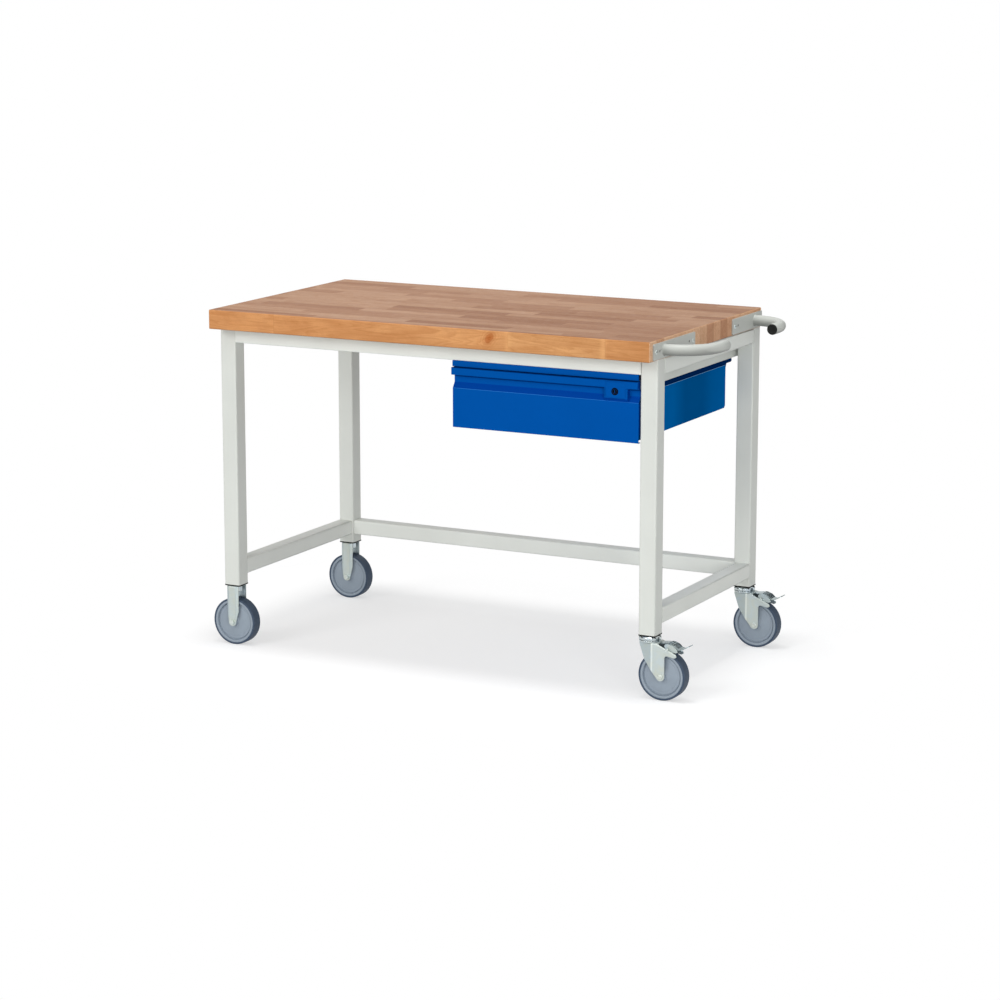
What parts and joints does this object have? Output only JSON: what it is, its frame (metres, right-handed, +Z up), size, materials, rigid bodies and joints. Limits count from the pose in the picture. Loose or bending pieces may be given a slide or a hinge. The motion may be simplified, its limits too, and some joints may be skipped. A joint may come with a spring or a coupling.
{
  "type": "mobile workbench",
  "caption": "Mobile workbench with a thick beech top on a square-tube frame, a lockable drawer on telescopic runners, push handles, fixed castors and braked swivel castors.",
  "frame": {"origin": "on the floor, under the middle of the whole object's box", "axes": "+X along the worktop towards the push handles, +Y from the drawer front to the back, +Z up"},
  "size_m": [1.408, 0.709, 0.9],
  "materials": {
    "beech": "oiled satin",
    "light_grey_paint": "satin powder coat",
    "blue_paint": "satin powder coat",
    "navy_paint": "satin powder coat",
    "zinc": "bright zinc plate",
    "black_plastic": "matte",
    "wheel_plastic": "matte",
    "tyre_rubber": "matte"
  },
  "bodies": {
    "bench": {"worktop": "beech", "worktop_screws": "zinc", "leg_front_left": "light_grey_paint", "leg_front_right": "light_grey_paint", "leg_back_left": "light_grey_paint", "leg_back_right": "light_grey_paint", "leg_plugs": "black_plastic", "top_rail_front": "light_grey_paint", "top_rail_back": "light_grey_paint", "top_rail_left": "light_grey_paint", "top_rail_right": "light_grey_paint", "lower_rail_left": "light_grey_paint", "lower_rail_right": "light_grey_paint", "lower_rail_back": "light_grey_paint", "carrier_left": "light_grey_paint", "carrier_right": "light_grey_paint", "carrier_caps": "light_grey_paint", "unit_screws": "zinc", "housing_shell": "blue_paint", "housing_rails": "navy_paint", "housing_front_strip": "blue_paint", "runner_fixed": "zinc", "handle_front": "light_grey_paint", "handle_rear": "light_grey_paint", "handle_plugs": "black_plastic", "handle_screws": "zinc", "fixed_fork_front": "zinc", "fixed_fork_back": "zinc", "fixed_castor_bolts": "zinc", "fixed_axle_bolts": "zinc", "fixed_axle_nuts": "zinc", "fixed_axle_sleeves": "zinc", "swivel_head_front": "zinc", "swivel_head_back": "zinc", "race_balls": "zinc", "kingpins": "zinc"},
    "drawer": {"drawer_box": "light_grey_paint", "drawer_front": "blue_paint", "drawer_screws": "zinc", "runner_inner": "zinc", "lock_plate": "blue_paint", "lock_barrel": "black_plastic"},
    "runner_middles": {"runner_middle": "zinc", "runner_balls": "zinc"},
    "lock": {"lock_core": "zinc", "lock_cam": "zinc"},
    "swivel_front": {"swivel_fork_front": "zinc", "fork_pins_front": "zinc"},
    "pedal_front": {"brake_pedal_front": "zinc"},
    "wheel_front_left": {"wheel_core_front_left": "wheel_plastic", "tyre_front_left": "tyre_rubber"},
    "wheel_front_right": {"wheel_core_front_right": "wheel_plastic", "tyre_front_right": "tyre_rubber"},
    "swivel_back": {"swivel_fork_back": "zinc", "fork_pins_back": "zinc"},
    "pedal_back": {"brake_pedal_back": "zinc"},
    "wheel_back_left": {"wheel_core_back_left": "wheel_plastic", "tyre_back_left": "tyre_rubber"},
    "wheel_back_right": {"wheel_core_back_right": "wheel_plastic", "tyre_back_right": "tyre_rubber"}
  },
  "joints": [
    {"name": "drawer_slide", "type": "slide", "parent": "bench", "child": "drawer", "axis": [0, -1, 0], "range_m": [0, 0.45]},
    {"name": "runner_slide", "type": "slide", "parent": "bench", "child": "runner_middles", "axis": [0, -1, 0], "range_m": [0, 0.225]},
    {"name": "lock_turn", "type": "hinge", "parent": "drawer", "child": "lock", "pos_m": [0.4715, -0.29, 0.766], "axis": [0, 1, 0], "range_deg": [0, 90]},
    {"name": "wheel_spin_front_left", "type": "hinge", "parent": "bench", "child": "wheel_front_left", "pos_m": [-0.6415, -0.28, 0.0625], "axis": [0, 1, 0], "continuous": true},
    {"name": "wheel_spin_back_left", "type": "hinge", "parent": "bench", "child": "wheel_back_left", "pos_m": [-0.6415, 0.323, 0.0625], "axis": [0, 1, 0], "continuous": true},
    {"name": "swivel_turn_front", "type": "hinge", "parent": "bench", "child": "swivel_front", "pos_m": [0.5595, -0.28, 0.15], "axis": [0, 0, 1], "continuous": true},
    {"name": "wheel_spin_front_right", "type": "hinge", "parent": "swivel_front", "child": "wheel_front_right", "pos_m": [0.5975, -0.28, 0.0625], "axis": [0, 1, 0], "continuous": true},
    {"name": "pedal_turn_front", "type": "hinge", "parent": "swivel_front", "child": "pedal_front", "pos_m": [0.6155, -0.28, 0.132], "axis": [0, 1, 0], "range_deg": [0, 25]},
    {"name": "swivel_turn_back", "type": "hinge", "parent": "bench", "child": "swivel_back", "pos_m": [0.5595, 0.323, 0.15], "axis": [0, 0, 1], "continuous": true},
    {"name": "wheel_spin_back_right", "type": "hinge", "parent": "swivel_back", "child": "wheel_back_right", "pos_m": [0.5975, 0.323, 0.0625], "axis": [0, 1, 0], "continuous": true},
    {"name": "pedal_turn_back", "type": "hinge", "parent": "swivel_back", "child": "pedal_back", "pos_m": [0.6155, 0.323, 0.132], "axis": [0, 1, 0], "range_deg": [0, 25]}
  ],
  "couplings": [
    {"joint": "runner_slide", "follows": "drawer_slide", "ratio": 0.5}
  ]
}
